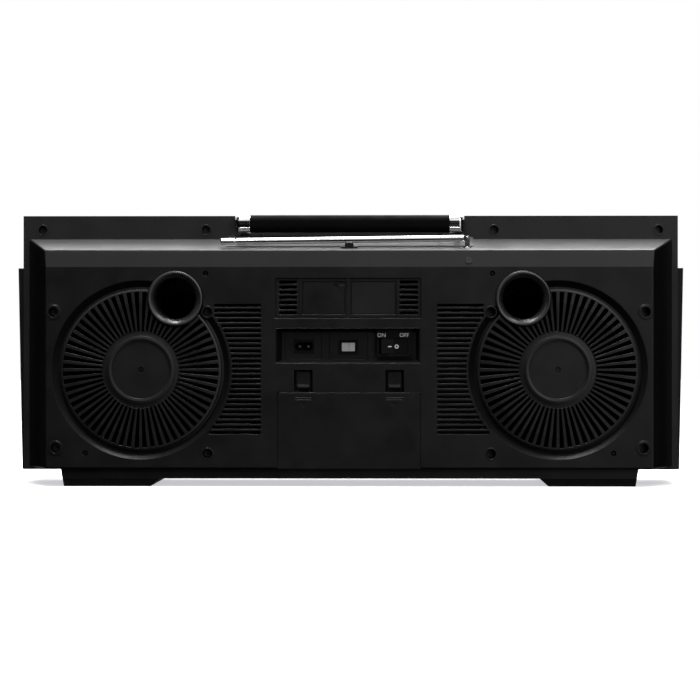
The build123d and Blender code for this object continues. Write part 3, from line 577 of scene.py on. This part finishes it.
def ring_polygons(centre, outer, inner, count=28):
    """A flat ring as two half rings, so that each is one plain polygon."""
    halves = []
    for start in (0, 1):
        angles = [math.pi * (start + step / count) for step in range(count + 1)]
        outside = [(centre[0] + outer * math.cos(a), centre[1] + outer * math.sin(a)) for a in angles]
        inside = [(centre[0] + inner * math.cos(a), centre[1] + inner * math.sin(a)) for a in angles[::-1]]
        halves.append(outside + inside)
    return halves


def add_words(name, words, at, height, out, made, look="white_ink"):
    """Raised plain lettering on the cabinet, centred on a point, facing back (out=1) or front (out=-1)."""
    curve = bpy.data.curves.new(name, "FONT")
    curve.body = words
    curve.size = height / CAP_SHARE
    curve.align_x = "CENTER"
    curve.align_y = "CENTER"
    curve.extrude = INK_HEIGHT
    curve.resolution_u = 3
    curve.materials.append(made[look])
    text = bpy.data.objects.new(name, curve)
    turn = Matrix.Rotation(math.pi if out > 0 else 0.0, 4, "Z") @ Matrix.Rotation(math.pi / 2, 4, "X")
    text.matrix_world = Matrix.Translation(at) @ turn
    bpy.context.scene.collection.objects.link(text)
    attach(text, "cabinet")


# Pieces on the back


def mark_power_switch(made):
    """Words beside the rocker and the two signs on it."""
    low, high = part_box("power_switch_housing")
    middle = centre_of(low, high)[0]
    level = high[2] - 6.0 * MM
    for name, words, shift in SWITCH_WORDS:
        at = Vector((middle + shift * MM, high[1], level))
        add_words(name, words, at, 3.8 * MM, 1, made)
    low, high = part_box("power_rocker")
    middle, level = centre_of(low, high)
    level -= 0.3 * MM
    dash = box_points(about(middle + 4.0 * MM, DASH_SIZE[0] / 2), about(level, DASH_SIZE[1] / 2))
    add_mark("rocker_dash", [dash], "power_rocker", 1, made, "white_ink", "power_rocker")
    ring = ring_polygons((middle - 2.8 * MM, level), *RING_RADII)
    add_mark("rocker_ring", ring, "power_rocker", 1, made, "white_ink", "power_rocker")


def add_handle_ears(made):
    """Black end plates outside the chrome fittings, and the dark stop set into each fitting."""
    grip_low, grip_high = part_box("handle_grip")
    front, back = grip_low[1] + 0.5 * MM, grip_high[1] + 0.4 * MM
    foot, top = grip_low[2] - 0.3 * MM, grip_high[2]
    outline = offset_points((front, foot), [(0, 4), (3, 0)])
    outline += offset_points((back, foot), [(-4, 0), (0, 4)])
    outline += offset_points((back, top), [(0, -5), (-5, -1.5), (-10, -0.1)])
    outline += offset_points((front, top), [(4, -2), (0, -6)])
    grip_end = max(abs(grip_low[0]), abs(grip_high[0]))
    level = centre_of(grip_low, grip_high)[1] - 1.7 * MM
    for side, sign in SIDES.items():
        shape = bmesh.new()
        add_prism(shape, outline, sign * EAR_INNER_X, sign * (EAR_INNER_X + EAR_THICKNESS), side_place)
        soften(shape, 0.3 * MM)
        set_piece(f"handle_ear_{side}", shape, made, "gloss_black", "handle")
        middle = sign * (grip_end + 3.4 * MM)
        stop = rounded_points(about(middle, STOP_SIZE[0] / 2), about(level, STOP_SIZE[1] / 2), 0.6 * MM)
        add_mark(f"fitting_stop_{side}", [stop], f"handle_arm_{side}", 1, made, "gloss_black", "handle")


def add_clip_ribs(made):
    """The ribbed black lip behind the rod at the middle of the antenna's rest."""
    low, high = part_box("antenna_clip")
    bottom = (high[1], low[2] + 0.5 * MM)
    top = (high[1], high[2] + 2.0 * MM)
    lip = offset_points(bottom, [(-2.1, 0), (-0.2, 0)])
    lip += offset_points(top, [(-0.2, -0.6), (-0.8, 0), (-2.1, 0)])
    rib = offset_points(bottom, [(-0.4, 0), (0.4, 0)])
    rib += offset_points(top, [(0.4, -1.0), (-0.4, -0.6)])
    shape = bmesh.new()
    add_prism(shape, lip, *about(0.0, 3.8 * MM), side_place)
    for number in range(-2, 3):
        add_prism(shape, rib, *about(number * 1.6 * MM, 0.35 * MM), side_place)
    set_piece("antenna_clip_lip", shape, made, "gloss_black", "cabinet", smooth=False)


def coil_points(centre, start, length, radii, turns, count):
    """Points along a conical spring that runs towards -X."""
    points = []
    for step in range(count + 1):
        part = step / count
        angle = 2 * math.pi * turns * part
        radius = radii[0] + (radii[1] - radii[0]) * part
        x = start - length * part
        points.append(Vector((x, centre[0] + radius * math.cos(angle), centre[1] + radius * math.sin(angle))))
    return points


def sweep_wire(shape, points, radius, sides=8):
    """A round wire along points, closed at both ends."""
    rings = []
    angles = [2 * math.pi * side / sides for side in range(sides)]
    for number, point in enumerate(points):
        ahead = points[min(number + 1, len(points) - 1)] - points[max(number - 1, 0)]
        first = ahead.cross(Vector((1, 0, 0.02))).normalized()
        second = ahead.cross(first).normalized()
        rings.append([tuple(point + radius * (first * math.cos(a) + second * math.sin(a))) for a in angles])
    rows = skin_loops(shape, rings)
    shape.faces.new(rows[0])
    shape.faces.new(rows[-1])


def add_battery_contacts(made):
    """Flat plates at one end of the bay and conical coil springs at the other."""
    low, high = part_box("battery_contacts")
    half = CONTACT_WIDTH / 2
    nub_angles = [math.pi * step / 10 for step in range(20)]
    shape = bmesh.new()
    for y in (low[1] + half, high[1] - half):
        for z in (low[2] + half, high[2] - half):
            face = rounded_points(about(y, half), about(z, half), 1.5 * MM)
            add_prism(shape, face, low[0], low[0] + 0.5 * MM, side_place)
            add_prism(shape, face, high[0] - 0.5 * MM, high[0], side_place)
            nub = [(y + NUB_RADIUS * math.cos(a), z + NUB_RADIUS * math.sin(a)) for a in nub_angles]
            add_prism(shape, nub, low[0] + 0.4 * MM, low[0] + 1.0 * MM, side_place)
            coil = coil_points((y, z), high[0] - 0.9 * MM, COIL_LENGTH, COIL_RADII, 4.0, 120)
            sweep_wire(shape, coil, WIRE_RADIUS)
    piece = set_piece("battery_springs", shape, made, "plated_brass", "cabinet")
    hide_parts("battery_contacts")


# Pieces on the front


def dome_y(radius, low_y):
    """How far forward the speaker cover stands at a radius: nearly flat, then falling to its rim."""
    flat, rim = DOME_RADII
    reach = radius / MM
    drop = 0.6 * reach / flat if reach < flat else 0.6 + 2.4 * (reach - flat) / (rim - flat)
    return low_y + drop * MM


def add_hole_cell(shape, centre, x, z, low_y):
    """One six-sided cell of the speaker cover, with a round hole in it."""
    outer, inner = [], []
    for step in range(CELL_POINTS):
        angle = 2 * math.pi * step / CELL_POINTS
        corner = HOLE_PITCH / math.sqrt(3) if step % 2 else HOLE_PITCH / 2
        for ring, reach in ((outer, corner), (inner, HOLE_SHARE * HOLE_PITCH)):
            at = (x + reach * math.cos(angle), z + reach * math.sin(angle))
            y = dome_y(math.hypot(*at), low_y)
            ring.append(shape.verts.new((centre[0] + at[0], y, centre[1] + at[1])))
    for step in range(CELL_POINTS):
        after = (step + 1) % CELL_POINTS
        shape.faces.new((outer[step], outer[after], inner[after], inner[step]))


def add_speaker_cover(side, made):
    """A domed sheet with round holes in a honeycomb pattern, held by a moulded ring."""
    low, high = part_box(f"speaker_grille_{side}")
    centre = centre_of(low, high)
    shape = bmesh.new()
    rise = HOLE_PITCH * math.sqrt(3) / 2
    rows = int(COVER_RADIUS / rise) + 1
    for row in range(-rows, rows + 1):
        for column in range(-rows - 1, rows + 2):
            x, z = (column + 0.5 * (row % 2)) * HOLE_PITCH, row * rise
            if math.hypot(x, z) <= COVER_RADIUS:
                add_hole_cell(shape, centre, x, z, low[1])
    cover = set_piece(f"speaker_cover_{side}", shape, made, "grille_metal", "cabinet", smooth=False)
    sheet = cover.modifiers.new("thickness", "SOLIDIFY")
    sheet.thickness = 0.7 * MM
    sheet.offset = -1.0
    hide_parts(f"speaker_grille_{side}")
    edge = (high[0] - low[0]) / 2
    ring = offset_points((edge, low[1]), RING_PROFILE) + [(edge, high[1]), (edge - 13.0 * MM, high[1])]
    set_piece(f"speaker_ring_{side}", turned_shape(ring, centre, 128), made, "trim_plastic", "cabinet")
    inlay = offset_points((edge, low[1]), INLAY_PROFILE)
    set_piece(f"speaker_inlay_{side}", turned_shape(inlay, centre, 128), made, "chrome", "cabinet")


def knob_profile(radius, front, back):
    """The outline of a knob, and which of its points the flutes draw in."""
    cap = front + 1.0 * MM
    profile = [(0.0, cap)]
    reach = CAP_RING_PITCH
    while reach < radius - 5.5 * MM:
        profile += offset_points((reach, cap), [(0, 0), (0.25, 0.12), (0.5, 0)])
        reach += CAP_RING_PITCH
    profile += offset_points((radius, front), [(-5.0, 1.0), (-3.5, 0), (-1.6, 0)])
    start = len(profile)
    profile += offset_points((radius, front), [(-0.7, 0.8), (-0.4, 3.0)])
    profile += [(radius, SKIRT_BACK - 2.2 * MM)]
    fluted = range(start, len(profile))
    profile += [(radius, SKIRT_BACK - 1.8 * MM), (radius, SKIRT_BACK)]
    profile += [(SHAFT_RADIUS, SKIRT_BACK), (SHAFT_RADIUS, back), (0.0, back)]
    return profile, fluted


def add_knob(node, made):
    """A spun knob with a fluted skirt, a ringed cap and a pointer line."""
    low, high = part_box(node)
    centre = centre_of(low, high)
    radius = (high[0] - low[0]) / 2
    front = low[1]
    profile, fluted = knob_profile(radius, front, high[1])
    shape = turned_shape(profile, centre, 8 * KNOB_FLUTES, KNOB_FLUTES, FLUTE_DEPTH, fluted)
    piece = set_piece(f"{node}_fluted", shape, made, "knob_metal", node)
    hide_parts(node)
    line = bmesh.new()
    along = (centre[1] + 0.35 * radius, centre[1] + radius - 1.8 * MM)
    face = rounded_points(about(centre[0], 0.6 * MM), along, 0.3 * MM)
    add_prism(line, face, front - 0.12 * MM, front + 1.3 * MM, front_place)
    set_piece(f"{node}_line", line, made, "pointer_red", node, smooth=False)


def mark_knob(node, words, face, made):
    """A word beside a knob and ticks round it."""
    low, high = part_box(node)
    centre = centre_of(low, high)
    radius = (high[0] - low[0]) / 2
    at = Vector((centre[0] + radius + 14 * MM, face, centre[1] + 8 * MM))
    add_words(f"{node}_word", words, at, 2.6 * MM, -1, made)
    near, far = radius + 1.4 * MM, radius + 3.0 * MM
    ticks = []
    for number in range(11):
        angle = math.radians(240 - 30 * number)
        across, up = math.cos(angle), math.sin(angle)
        corners = box_points((near, far), about(0.0, 0.25 * MM))
        ticks.append([(centre[0] + r * across - w * up, centre[1] + r * up + w * across) for r, w in corners])
    add_mark(f"{node}_ticks", ticks, "control_panel", -1, made, "white_ink", "cabinet")


def mark_front_panel(made):
    """Words and ticks round the knobs, the pilot light and two bright strips."""
    low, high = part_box("control_panel")
    face = low[1]
    for node, words in KNOB_WORDS.items():
        mark_knob(node, words, face, made)
    for name, level in (("upper_strip", high[2] - 2.6 * MM), ("lower_strip", low[2] + 1.6 * MM)):
        shape = bmesh.new()
        points = offset_points((face, level), [(-0.5, 0), (0.2, -0.4), (0.2, 1.4), (-0.5, 1.0)])
        add_prism(shape, points, low[0] + 6 * MM, high[0] - 6 * MM, side_place)
        set_piece(name, shape, made, "chrome", "cabinet", smooth=False)
    bezel = turned_shape(offset_points((0.0, face), BEZEL_PROFILE), PILOT_AT, 48)
    set_piece("pilot_bezel", bezel, made, "chrome", "cabinet")
    lens = turned_shape(offset_points((0.0, face), LENS_PROFILE), PILOT_AT, 48)
    set_piece("pilot_lens", lens, made, "pointer_red", "cabinet")
    spot = Vector((PILOT_AT[0], face, PILOT_AT[1] - 7.5 * MM))
    add_words("pilot_word", "POWER", spot, 2.2 * MM, -1, made)
    spot = Vector((60 * MM, face, PILOT_AT[1]))
    add_words("panel_word", "STEREO CASSETTE RECORDER", spot, 4.2 * MM, -1, made)


def add_dial(made):
    """The printed scale behind the dial's window."""
    low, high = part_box("dial_window")
    back = high[1] + 8.0 * MM
    face = back - 0.4 * MM
    across = widened((low[0], high[0]), -0.6 * MM)
    bottom, top = low[2] + 8.4 * MM, high[2] - 0.6 * MM
    shape = bmesh.new()
    add_prism(shape, rounded_points(across, (bottom, top), 1.0 * MM), back, face, front_place)
    set_piece("dial_scale", shape, made, "dial_print", "cabinet", smooth=False)
    for name, level in (("fm", top - 12 * MM), ("am", bottom + 8 * MM)):
        numbers = DIAL_NUMBERS[name]
        for number, words in enumerate(numbers):
            x = SCALE_START + SCALE_LENGTH * number / (len(numbers) - 1)
            add_words(f"dial_{name}_{words}", words, Vector((x, face, level)), 3.4 * MM, -1, made)
        at = Vector((-77 * MM, face, level))
        add_words(f"dial_{name}_band", name.upper(), at, 3.4 * MM, -1, made, "pointer_red")
    shape = bmesh.new()
    for level in (top - 17.5 * MM, bottom + 13 * MM):
        for number in range(SCALE_TICKS + 1):
            x = SCALE_START + SCALE_LENGTH * number / SCALE_TICKS
            tall = 2.2 * MM if number % 10 == 0 else 1.2 * MM
            tick = box_points(about(x, 0.15 * MM), (level, level + tall))
            add_prism(shape, tick, face + INK_SINK, face - INK_HEIGHT, front_place)
    set_piece("dial_ticks", shape, made, "white_ink", "cabinet", smooth=False)


def triangle(x, z, size, way):
    near, far = x - way * size * 0.5, x + way * size * 0.5
    return [(near, z - size * 0.6), (far, z), (near, z + size * 0.6)]


def mark_keys(made):
    """The usual sign for each tape function."""
    size = 3.4 * MM
    for key in ("record", "play", "rewind", "forward", "stop", "pause"):
        low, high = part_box(f"key_{key}")
        x, z = (low[0] + high[0]) / 2, low[2] + 7.0 * MM
        pair = about(x, 0.55 * size)
        bar = about(z, 0.5 * size)
        signs = {
            "record": [disc_points((x, z), 0.5 * size)],
            "play": [triangle(x, z, size, 1)],
            "rewind": [triangle(middle, z, size, -1) for middle in pair],
            "forward": [triangle(middle, z, size, 1) for middle in pair],
            "stop": [box_points(about(x, 0.45 * size), about(z, 0.45 * size))],
            "pause": [box_points(about(middle, 0.175 * size), bar) for middle in about(x, 0.325 * size)],
        }
        look = "pointer_red" if key == "record" else "white_ink"
        add_mark(f"key_{key}_sign", signs[key], f"key_{key}", -1, made, look, f"key_{key}")


def dress_cassette_bay(made):
    """A smoked pane with a bright frame on the door, and toothed spindles behind it."""
    low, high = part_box("cassette_door")
    face = low[1]
    across, up = about(0.0, 44 * MM), (high[2] - 58 * MM, high[2] - 12 * MM)
    shape = bmesh.new()
    add_prism(shape, rounded_points(across, up, PANE_CORNER), face - 0.5 * MM, face + 0.2 * MM, front_place)
    soften(shape, 0.15 * MM)
    set_piece("cassette_pane", shape, made, "smoked_pane", "cassette_door")
    shape = bmesh.new()
    loops = []
    for margin, y in offset_points((0.0, face), FRAME_PROFILE):
        points = rounded_points(widened(across, margin), widened(up, margin), PANE_CORNER + margin)
        loops.append([(x, y, z) for x, z in points])
    skin_loops(shape, loops, closed=True)
    set_piece("cassette_frame", shape, made, "chrome", "cassette_door")
    profile = offset_points((0.0, SPINDLE_FRONT), SPINDLE_PROFILE)
    for side, sign in SIDES.items():
        shape = turned_shape(profile, (sign * SPINDLE_X, SPINDLE_Z), 96, 6, 1.2 * MM, (2, 3, 4))
        set_piece(f"tape_spindle_{side}", shape, made, "white_plastic", "cabinet")


# Stage


def lay_floor():
    """A wide pale floor under the feet."""
    mesh = bpy.data.meshes.new("floor")
    shape = bmesh.new()
    bmesh.ops.create_grid(shape, x_segments=24, y_segments=24, size=FLOOR_HALF)
    shape.to_mesh(mesh)
    shape.free()
    floor = bpy.data.objects.new("floor", mesh)
    bpy.context.scene.collection.objects.link(floor)
    s = Surface("floor_paper")
    s.set(Base_Color=s.blend(s.noise(3.0), grey(0.9), grey(0.93)), Roughness=0.9)
    s.set(Emission_Color=grey(1.0), Emission_Strength=FLOOR_GLOW)
    s.set(Normal=s.bump(s.noise(300.0, 4.0), 0.00005))
    mesh.materials.append(s.material)
    floor.visible_diffuse = False
    floor.visible_glossy = False


def add_softbox(name, at, aim, size, power):
    """A rectangular area light at one point, turned to another."""
    data = bpy.data.lights.new(name, "AREA")
    data.shape = "RECTANGLE"
    data.size, data.size_y = size
    data.energy = power
    light = bpy.data.objects.new(name, data)
    light.location = at
    light.rotation_euler = (Vector(aim) - Vector(at)).to_track_quat("-Z", "Y").to_euler()
    bpy.context.scene.collection.objects.link(light)


def smooth_step(tree, value, start, end, low=0.0, high=1.0):
    """Maps a value smoothly from start..end to low..high."""
    node = tree.nodes.new("ShaderNodeMapRange")
    node.interpolation_type = "SMOOTHSTEP"
    for key, number in {"From Min": start, "From Max": end, "To Min": low, "To Max": high}.items():
        node.inputs[key].default_value = number
    tree.links.new(value, node.inputs["Value"])
    return node.outputs["Result"]


def combine(tree, operation, first, second):
    """The result of one sum on two outputs or numbers."""
    node = tree.nodes.new("ShaderNodeMath")
    node.operation = operation
    for socket, value in zip(node.inputs, (first, second)):
        if isinstance(value, bpy.types.NodeSocket):
            tree.links.new(value, socket)
        else:
            socket.default_value = value
    return node.outputs[0]


def surround_with_studio():
    """A white surround to look at, and a soft studio of light panels to be lit by."""
    world = bpy.data.worlds.new("studio")
    world.use_nodes = True
    tree = world.node_tree
    tree.nodes.clear()
    direction = tree.nodes.new("ShaderNodeTexCoord").outputs["Generated"]
    split = tree.nodes.new("ShaderNodeSeparateXYZ")
    tree.links.new(direction, split.inputs[0])
    across, out, up = split.outputs
    inward = combine(tree, "MULTIPLY", out, -1.0)
    high = smooth_step(tree, up, 0.55, 0.8, 0.0, CEILING_LIGHT)
    ceiling = combine(tree, "MULTIPLY", high, smooth_step(tree, out, 0.12, -0.2))
    sideways = combine(tree, "ABSOLUTE", across, 0.0)
    central = smooth_step(tree, sideways, 0.5, 0.25)
    ahead = combine(tree, "MULTIPLY", smooth_step(tree, inward, 0.45, 0.8), central)
    far_panel = combine(tree, "MULTIPLY", ahead, smooth_step(tree, up, 0.08, 0.3, 0.0, FAR_LIGHT))
    front_panel = smooth_step(tree, inward, 0.85, 0.97, 0.0, FRONT_LIGHT)
    to_one_side = smooth_step(tree, across, -0.02, -0.38, *BACK_LIGHT)
    back_panel = combine(tree, "MULTIPLY", smooth_step(tree, out, 0.6, 0.9), to_one_side)
    raised = smooth_step(tree, up, 0.16, 0.36, 0.0, REAR_FILL)
    rear_fill = combine(tree, "MULTIPLY", smooth_step(tree, out, 0.45, 0.65), raised)
    light = ceiling
    for panel in (far_panel, rear_fill, front_panel):
        light = combine(tree, "MAXIMUM", light, panel)
    light = combine(tree, "ADD", light, back_panel)
    studio = tree.nodes.new("ShaderNodeBackground")
    white = tree.nodes.new("ShaderNodeBackground")
    for background in (studio, white):
        background.inputs["Color"].default_value = (1, 1, 1, 1)
    tree.links.new(light, studio.inputs["Strength"])
    seen = tree.nodes.new("ShaderNodeLightPath").outputs["Is Camera Ray"]
    choose = tree.nodes.new("ShaderNodeMixShader")
    tree.links.new(seen, choose.inputs[0])
    tree.links.new(studio.outputs[0], choose.inputs[1])
    tree.links.new(white.outputs[0], choose.inputs[2])
    output = tree.nodes.new("ShaderNodeOutputWorld")
    tree.links.new(choose.outputs[0], output.inputs[0])
    bpy.context.scene.world = world


def light_the_stage():
    for name, softbox in SOFTBOXES.items():
        add_softbox(name, *softbox)


def add_camera():
    data = bpy.data.cameras.new("camera")
    data.lens = LENS_MM
    data.sensor_width = SENSOR_MM
    camera = bpy.data.objects.new("camera", data)
    camera.location = CAMERA_AT
    camera.rotation_euler = (CAMERA_AIM - CAMERA_AT).to_track_quat("-Z", "Y").to_euler()
    bpy.context.scene.collection.objects.link(camera)
    bpy.context.scene.camera = camera


def main():
    bpy.context.scene.view_settings.view_transform = "Standard"
    add_camera()
    lay_floor()
    surround_with_studio()
    light_the_stage()
    made = dress_cad_nodes()
    mark_power_switch(made)
    add_handle_ears(made)
    add_clip_ribs(made)
    add_battery_contacts(made)
    for side in SIDES:
        add_speaker_cover(side, made)
    for node in KNOB_WORDS:
        add_knob(node, made)
    mark_front_panel(made)
    add_dial(made)
    mark_keys(made)
    dress_cassette_bay(made)


main()
